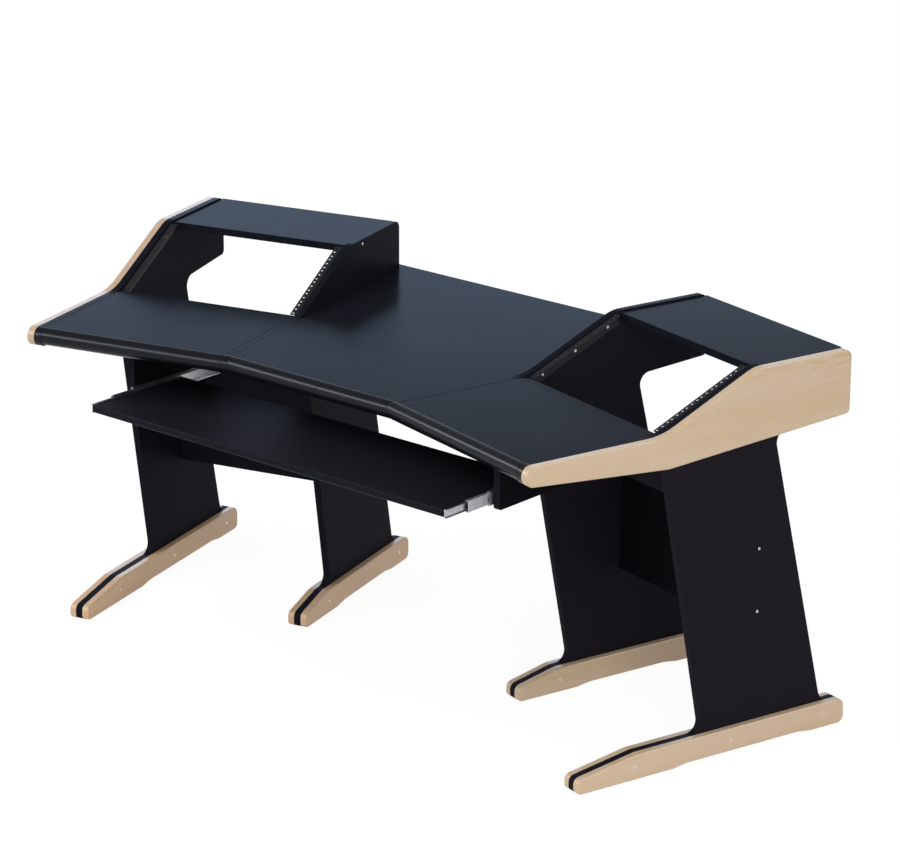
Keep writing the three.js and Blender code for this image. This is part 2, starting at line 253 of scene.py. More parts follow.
class Pen:
    """Draws a line in edit mode, from one vertex that a small plane is merged to."""

    def __init__(self, name, start):
        only(None)
        self.at = Vector(start)
        self.first = self.at.copy()
        bpy.ops.mesh.primitive_plane_add(size=MM, location=self.at)
        self.piece = bpy.context.object
        self.piece.name = name
        bpy.ops.object.transform_apply(location=True)
        edit(self.piece)
        bpy.ops.mesh.select_all(action="SELECT")
        bpy.ops.mesh.merge(type="CENTER")

    def line(self, there):
        there = Vector(there)
        if (there - self.at).length > MERGE_GAP / 10:
            bpy.ops.mesh.extrude_vertices_move(TRANSFORM_OT_translate={"value": there - self.at})
        self.at = there

    def arc(self, centre, axis, turn):
        """Spins the last vertex about an axis, right-handed for a positive turn."""
        centre = Vector(centre)
        steps = max(2, math.ceil(abs(turn) / ARC_STEP))
        bpy.ops.mesh.spin(steps=steps, angle=-turn, center=centre, axis=axis)
        self.at = centre + Matrix.Rotation(turn, 3, Vector(axis)) @ (self.at - centre)

    def fill(self):
        """Joins the line's ends and fills it with a face."""
        self.line(self.first)
        bpy.ops.mesh.select_all(action="SELECT")
        bpy.ops.mesh.remove_doubles(threshold=MERGE_GAP)
        bpy.ops.mesh.edge_face_add()


def draw_out(piece, step):
    """Draws a section out into a board or a strip."""
    edit(piece)
    bpy.ops.mesh.select_all(action="SELECT")
    bpy.ops.mesh.extrude_region_move(TRANSFORM_OT_translate={"value": step})
    only(piece)


def thicken(piece, thickness):
    """Gives a drawn strip the thickness of its sheet, half to each side."""
    sheet = piece.modifiers.new("Sheet", "SOLIDIFY")
    sheet.thickness = thickness
    sheet.offset = 0
    sheet.use_even_offset = True
    bpy.ops.object.modifier_apply(modifier=sheet.name)


def face_out(piece):
    edit(piece)
    bpy.ops.mesh.select_all(action="SELECT")
    bpy.ops.mesh.normals_make_consistent(inside=False)
    only(piece)


def flat_board(name, low, high, corners):
    """A board from low to high along X, cut to corners of (deep, up, radius)."""
    corners = [(Vector((0, deep, up)), radius) for deep, up, radius in corners]
    steps = []
    for i, (corner, radius) in enumerate(corners):
        back = (corners[i - 1][0] - corner).normalized()
        ahead = (corners[(i + 1) % len(corners)][0] - corner).normalized()
        half = back.angle(ahead) / 2
        if not radius:
            steps.append((corner, None, 0))
            continue
        centre = corner + (back + ahead).normalized() * radius / math.sin(half)
        turn = math.pi - 2 * half
        turn *= 1 if back.cross(ahead).x < 0 else -1
        steps.append((corner + back * radius / math.tan(half), centre, turn))
    along = Vector((low, 0, 0))
    pen = Pen(name, steps[0][0] + along)
    for start, centre, turn in steps:
        pen.line(start + along)
        if centre:
            pen.arc(centre + along, (1, 0, 0), turn)
    pen.fill()
    draw_out(pen.piece, (high - low, 0, 0))
    face_out(pen.piece)
    return pen.piece


def plain_board(name, low, high, edge):
    """A rectangular board between two corners, with eased edges."""
    only(None)
    bpy.ops.mesh.primitive_cube_add(size=1, location=(low + high) / 2, scale=high - low)
    piece = bpy.context.object
    piece.name = name
    bpy.ops.object.transform_apply(location=True, rotation=False, scale=True)
    round_all(piece, edge)
    return piece


def copy_of(piece, name):
    twin = piece.copy()
    twin.data = piece.data.copy()
    twin.name = name
    bpy.context.scene.collection.objects.link(twin)
    return twin


def seat(piece, place, body, finish, nodes=()):
    """Puts a modelled piece in its place, gives it its finish and lets it ride on its body."""
    piece.matrix_world = place
    only(piece)
    bpy.ops.object.transform_apply(location=True, rotation=True, scale=True)
    face_out(piece)
    bpy.ops.object.shade_smooth_by_angle(angle=SMOOTH_BELOW)
    weighting = piece.modifiers.new("Normals", "WEIGHTED_NORMAL")
    weighting.keep_sharp = True
    weighting.weight = 100
    bpy.ops.object.modifier_apply(modifier=weighting.name)
    for each in finish if isinstance(finish, tuple) else (finish,):
        piece.data.materials.append(each)
    piece.data.name = piece.name
    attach(piece, body)
    if nodes:
        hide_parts(*nodes)


def seat_both(piece, place_of, bodies, finishes, node=None):
    """Seats a piece on the right and its mirrored copy on the left."""
    name = piece.name
    twin = copy_of(piece, f"left_{name}")
    piece.name = f"right_{name}"
    for side, each in (("left", twin), ("right", piece)):
        body = bodies.format(side=side)
        nodes = [f"{side}_{node}"] if node else []
        seat(each, place_of(side), body, finishes[side], nodes)


# Finishes

class Finish:
    """A material with a few helpers for its nodes."""

    def __init__(self, name):
        self.material = bpy.data.materials.new(name)
        self.material.use_nodes = True
        self.tree = self.material.node_tree
        self.shader = self.tree.nodes["Principled BSDF"]
        self.column = -1400

    def node(self, kind, inputs=(), **options):
        made = self.tree.nodes.new(kind)
        made.location = (self.column, 0)
        self.column += 60
        for key, value in options.items():
            setattr(made, key, value)
        for key, value in dict(inputs).items():
            if isinstance(value, bpy.types.NodeSocket):
                self.tree.links.new(value, made.inputs[key])
            else:
                made.inputs[key].default_value = value
        return made

    def link(self, output, name):
        self.tree.links.new(output, self.shader.inputs[name])

    def place(self, turn=(0, 0, 0), move=(0, 0, 0), scale=(1, 1, 1), after=None):
        """Object coordinates, or those that come in, moved, turned and scaled."""
        source = after or self.node("ShaderNodeTexCoord").outputs["Object"]
        inputs = {"Vector": source, "Location": move, "Rotation": turn, "Scale": scale}
        return self.node("ShaderNodeMapping", inputs).outputs["Vector"]

    def noise(self, where, scale, detail=3.0, roughness=0.5):
        inputs = {"Vector": where, "Scale": scale, "Detail": detail, "Roughness": roughness}
        return self.node("ShaderNodeTexNoise", inputs).outputs["Fac"]

    def spread(self, value, low, high, to_low=0.0, to_high=1.0):
        """Maps a range of a value to another, without going past its ends."""
        inputs = {"Value": value, "From Min": low, "From Max": high, "To Min": to_low, "To Max": to_high}
        return self.node("ShaderNodeMapRange", inputs).outputs["Result"]

    def blend(self, factor, first, second):
        inputs = {"Factor": factor, "A": first, "B": second}
        made = self.node("ShaderNodeMix", data_type="RGBA")
        for key, value in inputs.items():
            socket = next(s for s in made.inputs if s.name == key and s.enabled)
            if isinstance(value, bpy.types.NodeSocket):
                self.tree.links.new(value, socket)
            else:
                socket.default_value = value if key == "Factor" else (*value, 1)
        return next(s for s in made.outputs if s.enabled)

    def maths(self, operation, first, second):
        made = self.node("ShaderNodeMath", operation=operation)
        for i, value in enumerate((first, second)):
            if isinstance(value, bpy.types.NodeSocket):
                self.tree.links.new(value, made.inputs[i])
            else:
                made.inputs[i].default_value = value
        return made.outputs["Value"]

    def bump(self, height, strength, distance):
        inputs = {"Height": height, "Strength": strength, "Distance": distance}
        self.link(self.node("ShaderNodeBump", inputs).outputs["Normal"], "Normal")

    def set(self, **values):
        for key, value in values.items():
            name = key.replace("_", " ").title().replace("Ior", "IOR")
            self.shader.inputs[name].default_value = value


def shaded(tint, factor):
    return tuple(part * factor for part in tint)


def laminate(name, tint, gloss, roughness):
    """Black laminate: a fine pebble, and a little unevenness in its colour and shine."""
    finish = Finish(name)
    where = finish.place()
    pebble = finish.noise(where, 900, 2)
    cloud = finish.noise(where, 6, 4)
    finish.link(finish.blend(cloud, shaded(tint, 0.9), shaded(tint, 1.12)), "Base Color")
    finish.link(finish.spread(cloud, 0.3, 0.7, roughness - 0.02, roughness + 0.02), "Roughness")
    finish.set(specular_ior_level=gloss)
    finish.bump(pebble, 0.12, 0.05 * MM)
    return finish.material


MAPLE_WARM = (0.6, 0.44, 0.24)
RING_HEART = (0.842, 0.407, 0.885)
RING_SCALE = 58.0
RING_LEAN = (math.radians(-4.5), math.radians(-3))


def maple(side, use, painted_light_and_shade=(1, 1, 1)):
    """Lacquered maple, whose growth lines run along the wing and meet in arches towards the rear."""
    look = settings().finish
    # The last argument scales the maple's colours to paint light and shade onto one piece of maple.
    pale, dark, warm = (
        tuple(a * b for a, b in zip(tint, painted_light_and_shade)) for tint in (look.maple, look.maple_dark, MAPLE_WARM))
    sign = -1 if side == "left" else 1
    finish = Finish(f"{side}_{use}_maple")
    along = finish.place(turn=(0, 0, sign * WING_TURN))
    slow = finish.noise(finish.place(scale=(3, 1.1, 3), after=along), 1, 2)
    quick = finish.noise(finish.place(scale=(40, 5, 40), after=along), 1, 2)
    sway = finish.spread(slow, 0.2, 0.8, -0.014, 0.014)
    sway = finish.maths("ADD", sway, finish.spread(quick, 0.2, 0.8, -0.0036, 0.0036))
    bent = finish.node("ShaderNodeVectorMath", operation="ADD")
    finish.tree.links.new(along, bent.inputs[0])
    finish.tree.links.new(sway, bent.inputs[1])
    out, deep, up = RING_HEART
    centred = finish.place(move=(-sign * out, -deep, -up), after=bent.outputs["Vector"])
    leaning = finish.place(turn=(RING_LEAN[0], 0, sign * RING_LEAN[1]), after=centred)
    inputs = {"Vector": leaning, "Scale": RING_SCALE, "Distortion": 0.0}
    rings = finish.node(
        "ShaderNodeTexWave", inputs, wave_type="RINGS", rings_direction="Y", wave_profile="SIN")
    strength = finish.noise(finish.place(scale=(14, 2.5, 30), after=along), 1, 3)
    lines = finish.spread(rings.outputs["Fac"], 0.45, 1.0, 0.0, 1.0)
    lines = finish.maths("MULTIPLY", lines, finish.spread(strength, 0.42, 0.72, 0.04, 1.0))
    fibres = finish.noise(finish.place(scale=(420, 9, 420), after=along), 1, 3, 0.6)
    streak = finish.noise(finish.place(scale=(9, 1.1, 16), after=along), 1, 3)
    tint = finish.blend(lines, pale, dark)
    tint = finish.blend(finish.spread(fibres, 0.5, 0.8, 0, 0.42), tint, shaded(dark, 0.9))
    tint = finish.blend(finish.spread(streak, 0.55, 0.78, 0, 0.35), tint, warm)
    finish.link(tint, "Base Color")
    matt = look.maple_roughness
    finish.link(finish.spread(fibres, 0.3, 0.8, matt - 0.03, matt + 0.05), "Roughness")
    finish.set(specular_ior_level=0.34)
    finish.bump(fibres, 0.1, 0.05 * MM)
    return finish.material


def zinc_steel():
    """Zinc-plated sheet, drawn lengthways, with faint blue and yellow in the plating."""
    look = settings().finish
    finish = Finish("zinc_plated_steel")
    where = finish.place()
    drawn = finish.noise(finish.place(scale=(900, 6, 900), after=where), 1, 3)
    cloud = finish.noise(where, 30, 4)
    tint = finish.blend(cloud, shaded(look.zinc, 0.88), (0.74, 0.73, 0.74))
    tint = finish.blend(finish.spread(drawn, 0.35, 0.75, 0, 0.3), tint, shaded(look.zinc, 0.72))
    finish.link(tint, "Base Color")
    finish.link(finish.spread(cloud, 0.3, 0.7, 0.36, 0.48), "Roughness")
    finish.set(metallic=1.0)
    finish.bump(drawn, 0.1, 0.04 * MM)
    return finish.material


def powder_coat():
    """Black powder coat with its orange-peel surface."""
    look = settings().finish
    finish = Finish("black_powder_coat")
    where = finish.place()
    peel = finish.noise(where, 700, 2)
    tint = finish.blend(peel, shaded(look.powder, 0.85), shaded(look.powder, 1.3))
    finish.link(tint, "Base Color")
    finish.link(finish.spread(peel, 0.3, 0.7, 0.42, 0.55), "Roughness")
    finish.set(specular_ior_level=0.16)
    finish.bump(peel, 0.3, 0.1 * MM)
    return finish.material


def nickel():
    """Nickel-plated screws with fine turning marks."""
    look = settings().finish
    finish = Finish("nickel_plated_screws")
    marks = finish.noise(finish.place(), 1800, 2)
    finish.link(finish.blend(marks, shaded(look.nickel, 0.85), look.nickel), "Base Color")
    finish.link(finish.spread(marks, 0.3, 0.7, 0.34, 0.44), "Roughness")
    finish.set(metallic=1.0)
    return finish.material


def finish_named(name):
    """The finish of that name, made when it is first asked for."""
    look = settings().finish
    laminates = {
        # The left boards' laminate carries painted shade, darker and bluer than the right.
        "left_board_laminate": (look.left_board_painted_shade, look.board_gloss, look.board_roughness),
        "right_board_laminate": (look.board, look.board_gloss, look.board_roughness),
        "worktop_laminate": (look.top, look.top_gloss, look.top_roughness),
        "front_edging_lacquer": (look.edging, look.edging_gloss, look.edging_roughness),
        "tray_laminate": (look.board, 3 * look.board_gloss, look.board_roughness),
        "tray_edging_lacquer": (look.edging, look.edging_gloss / 3, look.edging_roughness),
        # Painted shade: the right boards' laminate at 0.45 of its colour, with the same gloss and
        # roughness, for parts that lie in shade.
        "matt_board_laminate": (shaded(look.board, 0.45), look.board_gloss, look.board_roughness),
    }
    makers = {
        # These maples differ only in painted light and shade: the left cheek is painted darker, the feet
        # brighter, and the left feet warmer as well.
        "left_cheek_maple": lambda: maple("left", "cheek", (0.93, 0.88, 0.89)),
        "right_cheek_maple": lambda: maple("right", "cheek"),
        "left_foot_maple": lambda: maple("left", "foot", (1.17, 1.04, 0.94)),
        "right_foot_maple": lambda: maple("right", "foot", (1.1, 1.09, 1.1)),
        "zinc_plated_steel": zinc_steel,
        "black_powder_coat": powder_coat,
        "nickel_plated_screws": nickel,
    }
    made = bpy.data.materials.get(name)
    if not made:
        made = laminate(name, *laminates[name]) if name in laminates else makers[name]()
    return made


def on_both_sides(name):
    """The finish for each side, of one name or of a name that holds the side."""
    return {side: finish_named(name.format(side=side)) for side in SIDES}


# Outlines in depth and height, as corners of (deep, up, radius)

WORKTOP = 799 * MM
RACK_FRONT = 375 * MM
RACK_SLOPE = math.radians(24.5)
UNDER_KINK = Vector((386 * MM, 723.7 * MM))
UNDER_RISE = 38.9 * MM
LEG_WIDTH = 346 * MM
LEG_SETBACK = 40.4 * MM
LEG_HEAD_SETBACK = 201 * MM
FOOT_TOP = 61 * MM
SOLE_RELIEF = 5.5 * MM
SOLE_RAMP = 38 * MM
HEEL_PAD = 97 * MM
HEEL_RADII = (17 * MM, 20 * MM)
TOE_RADII = (60 * MM, 16 * MM, 12 * MM)
TOE_TIP = 35.5 * MM
TOES = {
    "outer": {"front": 151 * MM, "slope": 167 * MM, "pad": 268 * MM},
    "inner": {"front": 349 * MM, "slope": 114 * MM, "pad": 170 * MM},
}


def nose(radius):
    """The half-round front end of a board, up to where it turns level underneath."""
    return [
        (0, WORKTOP, radius),
        (0, WORKTOP - 2 * radius, radius),
        (radius, WORKTOP - 2 * radius, 0),
    ]


def upper_edge():
    """From the lower rear corner over the shelf line and down the rack slope."""
    sizes = settings().boards
    rear = wing_box("cheek")[1].y
    top = wing_box("cheek")[1].z
    head = RACK_FRONT + (top - WORKTOP) / math.tan(RACK_SLOPE)
    return [
        (rear, UNDER_KINK.y + UNDER_RISE, sizes.rear_bottom_radius),
        (rear, top, sizes.rear_top_radius),
        (head, top, sizes.slope_head_radius),
        (RACK_FRONT, WORKTOP, sizes.slope_foot_radius),
    ]


def sole(foot):
    """A foot from its sloping toe round under the stepped sole to the top of its heel."""
    toe = TOES[foot]
    heel = wing_box(f"{foot}_foot_outer_plate")[1].y
    pad_end = toe["front"] + toe["pad"]
    heel_start = heel - HEEL_PAD
    return [
        (toe["front"] + toe["slope"], FOOT_TOP, TOE_RADII[0]),
        (toe["front"], TOE_TIP, TOE_RADII[1]),
        (toe["front"], 0, TOE_RADII[2]),
        (pad_end, 0, 0),
        (pad_end + SOLE_RAMP, SOLE_RELIEF, 0),
        (heel_start - SOLE_RAMP, SOLE_RELIEF, 0),
        (heel_start, 0, 0),
        (heel, 0, HEEL_RADII[0]),
        (heel, FOOT_TOP, HEEL_RADII[1]),
    ]


def side_board_outline(radius, foot):
    """Bay side, leg and core of the foot in one outline."""
    sizes = settings().boards
    rear = wing_box("cheek")[1].y
    leg_rear = rear - LEG_SETBACK
    leg_front = leg_rear - LEG_WIDTH
    leg_head = rear - LEG_HEAD_SETBACK
    rise = (leg_head - UNDER_KINK.x) / (rear - UNDER_KINK.x)
    return [
        *nose(radius),
        (*UNDER_KINK, sizes.leg_fillet),
        (leg_front, FOOT_TOP, sizes.foot_fillet),
        *sole(foot),
        (leg_rear, FOOT_TOP, sizes.foot_fillet),
        (leg_head, UNDER_KINK.y + rise * UNDER_RISE, sizes.foot_fillet),
        *upper_edge(),
    ]


# Operators

class PieceOperator:
    """What every operator of the desk shares"""
    bl_options = {"REGISTER", "UNDO"}


def band(board, number, wanted):
    """Gives the faces that pass the test another of the board's finishes, by its number."""
    only(board)
    for face in board.data.polygons:
        if wanted(face.center, face.normal):
            face.material_index = number


class DESK_OT_side_boards(PieceOperator, bpy.types.Operator):
    """Black side boards, each a bay side, a leg and the core of a foot in one piece"""
    bl_idname = "desk.side_boards"
    bl_label = "Side boards"

    def execute(self, context):
        sizes = settings().boards
        # The left boards get the laminate with painted shade.
        boards = on_both_sides("{side}_board_laminate")
        edges = (finish_named("worktop_laminate"), finish_named("front_edging_lacquer"))
        finish = {side: (boards[side], *edges) for side in SIDES}
        for foot, radius in (("inner", NOSING_RADIUS), ("outer", sizes.nose_radius)):
            low, high = wing_box(f"{foot}_side_board")
            board = flat_board(f"{foot}_board", low.x, high.x, side_board_outline(radius, foot))
            round_all(board, sizes.edge)
            band(board, 1, lambda middle, normal: normal.z > 0.3 and middle.z > WORKTOP - radius)
            band(board, 2, lambda middle, normal: abs(normal.x) < 0.9 and middle.y < radius)
            seat_both(board, wing_place, "desk", finish, f"{foot}_side_board")
        return {"FINISHED"}


class DESK_OT_cheeks(PieceOperator, bpy.types.Operator):
    """Maple cheeks outside the outer boards, with rounded outer edges"""
    bl_idname = "desk.cheeks"
    bl_label = "Cheeks"

    def execute(self, context):
        boards = settings().boards
        sizes = settings().maple
        low, high = wing_box("cheek")
        corners = [*nose(boards.nose_radius), (*UNDER_KINK, boards.kink_radius), *upper_edge()]
        cheek = flat_board("maple_cheek", low.x, high.x, corners)
        outside = high.x
        round_edges(cheek, lambda a, b: near(a.x, outside) and near(b.x, outside), sizes.cheek_edge, 5)
        round_edges(cheek, lambda a, b: near(a.x, low.x) and near(b.x, low.x), sizes.seam_edge, 2)
        seat_both(cheek, wing_place, "desk", on_both_sides("{side}_cheek_maple"), "cheek")
        return {"FINISHED"}


class DESK_OT_foot_plates(PieceOperator, bpy.types.Operator):
    """Maple plates on both faces of each foot"""
    bl_idname = "desk.foot_plates"
    bl_label = "Foot plates"

    def execute(self, context):
        sizes = settings().maple
        finish = on_both_sides("{side}_foot_maple")
        for foot in ("inner", "outer"):
            for face in ("outer", "inner"):
                node = f"{foot}_foot_{face}_plate"
                low, high = wing_box(node)
                seam, outside = (low.x, high.x) if face == "outer" else (high.x, low.x)
                plate = flat_board(f"{foot}_foot_{face}_maple", low.x, high.x, sole(foot))
                at_outside = lambda a, b: near(a.x, outside) and near(b.x, outside)
                at_seam = lambda a, b: near(a.x, seam) and near(b.x, seam)
                round_edges(plate, at_outside, sizes.plate_edge, 5)
                round_edges(plate, at_seam, sizes.seam_edge, 2)
                seat_both(plate, wing_place, "desk", finish, node)
        return {"FINISHED"}


def cut_at_folds(piece):
    """Mitres the ends of a middle board where the wings begin."""
    for sign in (-1, 1):
        edit(piece)
        bpy.ops.mesh.select_all(action="SELECT")
        normal = Vector((sign * math.cos(WING_TURN), -math.sin(WING_TURN), 0))
        corner = Vector((sign * CENTRE_HALF_WIDTH, 0, 0)) - normal * FIT_GAP
        bpy.ops.mesh.bisect(plane_co=corner, plane_no=normal, use_fill=True, clear_outer=True)
        only(piece)


class DESK_OT_edging(PieceOperator, bpy.types.Operator):
    """Half-round edging along the front of the three tops"""
    bl_idname = "desk.edging"
    bl_label = "Front edging"

    def execute(self, context):
        sizes = settings().boards
        finish = on_both_sides("front_edging_lacquer")
        outline = [*nose(NOSING_RADIUS), (NOSING_RADIUS, WORKTOP, 0)]
        low, high = wing_box("nosing")
        edging = flat_board("front_edging", low.x, high.x, outline)
        round_all(edging, sizes.edge / 2)
        seat_both(edging, wing_place, "desk", finish, "nosing")
        reach = desk_box("centre_nosing")[1].x * OVERSIZE
        middle = flat_board("centre_front_edging", -reach, reach, outline)
        cut_at_folds(middle)
        round_all(middle, sizes.edge / 2)
        seat(middle, desk_place(), "desk", finish["right"], ["centre_nosing"])
        return {"FINISHED"}


class DESK_OT_tops(PieceOperator, bpy.types.Operator):
    """Worktops and the raised shelves behind the rack bays"""
    bl_idname = "desk.tops"
    bl_label = "Tops and shelves"

    def execute(self, context):
        edge = settings().boards.edge
        finish = on_both_sides("worktop_laminate")
        for name, node in (("wing_top", "worktop"), ("raised_shelf", "shelf")):
            board = plain_board(name, *wing_box(node), edge)
            seat_both(board, wing_place, "desk", finish, node)
        for name, node in (("centre_top", "centre_worktop"), ("centre_rear_rail", "centre_stretcher")):
            low, high = desk_box(node)
            low.x *= OVERSIZE
            high.x *= OVERSIZE
            board = plain_board(name, low, high, edge)
            cut_at_folds(board)
            seat(board, desk_place(), "desk", finish["right"], [node])
        return {"FINISHED"}


class DESK_OT_rails(PieceOperator, bpy.types.Operator):
    """Front rails and rear panels between the legs of each wing"""
    bl_idname = "desk.rails"
    bl_label = "Rails and panels"

    def execute(self, context):
        edge = settings().boards.edge
        boards = (
            # The right rear panel takes the laminate with painted shade; on the left both boards take the
            # left laminate, which is painted darker as shade too.
            ("cross_rail", "front_rail", "right_board_laminate"),
            ("leg_panel", "rear_panel", "matt_board_laminate"),
        )
        for name, node, on_right in boards:
            finish = {"left": finish_named("left_board_laminate"), "right": finish_named(on_right)}
            board = plain_board(name, *wing_box(node), edge)
            seat_both(board, wing_place, "desk", finish, node)
        return {"FINISHED"}


TRAY_NOSE = 3 * MM
TRAY_BAND = 3.5 * MM
BRACKET_CORNER = 8 * MM
BRACKET_EDGE = 1.6 * MM


class DESK_OT_tray(PieceOperator, bpy.types.Operator):
    """Keyboard tray and the brackets that carry its slides"""
    bl_idname = "desk.tray"
    bl_label = "Tray and brackets"

    def execute(self, context):
        sizes = settings().boards
        finish = on_both_sides("{side}_board_laminate")
        low, high = desk_box("keyboard_tray")
        corners = [
            (low.y, low.z, TRAY_NOSE), (high.y, low.z, 0), (high.y, high.z, 0), (low.y, high.z, TRAY_NOSE),
        ]
        tray = flat_board("sliding_tray", low.x, high.x, corners)
        round_all(tray, sizes.edge)
        band(tray, 1, lambda middle, normal: middle.y < low.y + TRAY_BAND)
        banded = (finish_named("tray_laminate"), finish_named("tray_edging_lacquer"))
        seat(tray, desk_place(), "tray", banded, ["keyboard_tray"])
        low, high = desk_box("right_tray_bracket")
        corners = [
            (low.y, low.z, BRACKET_CORNER), (high.y, low.z, BRACKET_CORNER),
            (high.y, high.z, 0), (low.y, high.z, 0),
        ]
        bracket = flat_board("slide_bracket", low.x, high.x, corners)
        round_all(bracket, BRACKET_EDGE, 3)
        # Painted shade: all faces but the front ones take the darkened laminate; the front faces keep the
        # right boards' colour.
        band(bracket, 1, lambda middle, normal: normal.y < -0.3)
        banded = (finish_named("matt_board_laminate"), finish["right"])
        finish = {side: banded for side in SIDES}
        seat_both(bracket, desk_place, "desk", finish, "tray_bracket")
        return {"FINISHED"}


BALL_ROWS = {"outer": (3.6 * MM, 15.1 * MM), "inner": (8.0 * MM, 11.6 * MM)}
RACE_RADIUS = 2.3 * MM


def slide_line(name, start, moves, across, middle, reach):
    """Draws half a slide's section, mirrors it down, and draws it out along the slide."""
    def placed(inset, height):
        return Vector((across - inset, reach[0], middle + height))

    pen = Pen(name, placed(*start))
    for move in moves:
        if not isinstance(move[0], str):
            pen.line(placed(*move))
        else:
            row, turn = move[0], math.radians(move[1])
            pen.arc(placed(*BALL_ROWS[row]), (0, 1, 0), turn)
    pen.line(Vector((pen.at.x, pen.at.y, middle)))
    section = pen.piece
    only(section)
    folding = section.modifiers.new("Lower half", "MIRROR")
    folding.use_axis = (False, False, True)
    folding.use_clip = True
    folding.merge_threshold = MERGE_GAP
    centre = bpy.data.objects.new("slide_middle_height", None)
    centre.location = (0, 0, middle)
    bpy.context.scene.collection.objects.link(centre)
    folding.mirror_object = centre
    bpy.context.view_layer.update()
    bpy.ops.object.modifier_apply(modifier=folding.name)
    bpy.data.objects.remove(centre)
    draw_out(section, (0, reach[1] - reach[0], 0))
    thicken(section, settings().hardware.slide_sheet)
    return section


def on_race(row, angle):
    """A point on a raceway, as inset and height, at an angle in degrees."""
    inset, height = BALL_ROWS[row]
    angle = math.radians(angle)
    return inset + RACE_RADIUS * math.cos(angle), height + RACE_RADIUS * math.sin(angle)


class DESK_OT_slides(PieceOperator, bpy.types.Operator):
    """Three-part ball-bearing slides between the tray and its brackets"""
    bl_idname = "desk.slides"
    bl_label = "Slides"

    def execute(self, context):
        finish = on_both_sides("zinc_plated_steel")
        across = desk_box("right_tray_bracket")[0].x - FIT_GAP
        low, high = desk_box("keyboard_tray")
        middle = (low.z + high.z) / 2
        half_sheet = settings().hardware.slide_sheet / 2
        outer_height = BALL_ROWS["outer"][1]
        web = 12.1 * MM - half_sheet
        members = {
            "outer": (on_race("outer", 20), [("outer", 130), (half_sheet, outer_height)], "desk"),
            "middle": (
                on_race("inner", 20),
                [("inner", 100), on_race("outer", 340), ("outer", -78), (3 * MM, outer_height - 2.9 * MM)],
                "{side}_slide_middle",
            ),
            "inner": (
                on_race("inner", 225), [("inner", 95), (web, BALL_ROWS["inner"][1] - 3 * MM)], "tray"),
        }
        for name, (start, moves, body) in members.items():
            near_end, far_end = desk_box(f"right_slide_{name}")
            slide = slide_line(f"{name}_slide", start, moves, across, middle, (near_end.y, far_end.y))
            seat_both(slide, desk_place, body, finish, f"slide_{name}")
        for side in SIDES:
            for cage in ("outer_cage", "inner_cage"):
                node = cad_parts[f"{side}_slide_{cage}"]
                node.data.materials.clear()
                node.data.materials.append(finish[side])
        return {"FINISHED"}


RACK_UNIT = 44.45 * MM
RACK_UNITS = 6
RACK_HOLES = (6.35 * MM, 22.225 * MM, 38.1 * MM)
RACK_HOLE_INSET = 14.05 * MM
RACK_PANEL = 3 * MM
RACK_END_GAP = 6 * MM
RAIL_FLANGE = 20.5 * MM
RAIL_LEG = 28 * MM
RAIL_BEND = 3 * MM
RAIL_SCREWS = (0.12, 0.5, 0.88)


def slope_place(side):
    """Takes a point measured out, up the rack slope and out of it to the frame of the desk."""
    foot = Matrix.Translation((0, RACK_FRONT, WORKTOP))
    return wing_place(side) @ foot @ Matrix.Rotation(RACK_SLOPE, 4, "X")


def punch(piece, tool):
    """Cuts one piece out of another and removes the tool."""
    only(piece)
    cut = piece.modifiers.new("Holes", "BOOLEAN")
    cut.operation = "DIFFERENCE"
    cut.solver = "EXACT"
    cut.object = tool
    bpy.ops.object.modifier_apply(modifier=cut.name)
    bpy.data.objects.remove(tool)


def hole_pins(across, up, radius, depth):
    """Round pins at every hole of a rack rail, in one object."""
    only(None)
    pins = []
    for unit in range(RACK_UNITS):
        for hole in RACK_HOLES:
            along = RACK_END_GAP + unit * RACK_UNIT + hole
            bpy.ops.mesh.primitive_cylinder_add(
                vertices=20, radius=radius, depth=depth, location=(across, along, up))
            pins.append(bpy.context.object)
    for pin in pins:
        pin.select_set(True)
    bpy.ops.object.join()
    bpy.ops.object.transform_apply(location=True, rotation=True, scale=True)
    return bpy.context.object


class DESK_OT_rack_rails(PieceOperator, bpy.types.Operator):
    """Folded steel rack rails with a row of round holes, in the sloping bays"""
    bl_idname = "desk.rack_rails"
    bl_label = "Rack rails"

    def execute(self, context):
        sizes = settings().hardware
        sheet = sizes.rail_sheet
        finish = on_both_sides("black_powder_coat")
        screws = on_both_sides("nickel_plated_screws")
        top = -RACK_PANEL - sheet / 2
        inside = FIT_GAP + sheet / 2
        height = RACK_UNITS * RACK_UNIT
        for board, towards in (("inner", 1), ("outer", -1)):
            box = wing_box(f"{board}_side_board")
            face = box[1].x if towards > 0 else box[0].x

            def placed(out, up):
                return Vector((face + towards * out, RACK_END_GAP, up))

            pen = Pen(f"{board}_rail", placed(RAIL_FLANGE, top))
            pen.line(placed(inside + RAIL_BEND, top))
            pen.arc(placed(inside + RAIL_BEND, top - RAIL_BEND), (0, 1, 0), -towards * math.pi / 2)
            pen.line(placed(inside, top - RAIL_LEG))
            rail = pen.piece
            draw_out(rail, (0, height, 0))
            thicken(rail, sheet)
            round_all(rail, sheet * 0.15, 1)
            face_out(rail)
            punch(rail, hole_pins(placed(RACK_HOLE_INSET, 0).x, top, sizes.rail_hole / 2, 3 * sheet))
            seat_both(rail, slope_place, "desk", finish, f"{board}_rack_rail")
            surface = placed(inside + sheet / 2, 0).x
            for i, part in enumerate(RAIL_SCREWS):
                at = Vector((surface, RACK_END_GAP + part * height, top - RAIL_LEG * 0.55))
                made = screw(f"{board}_rail_screw_{i + 1}", at, towards)
                seat_both(made, slope_place, "desk", screws)
        return {"FINISHED"}


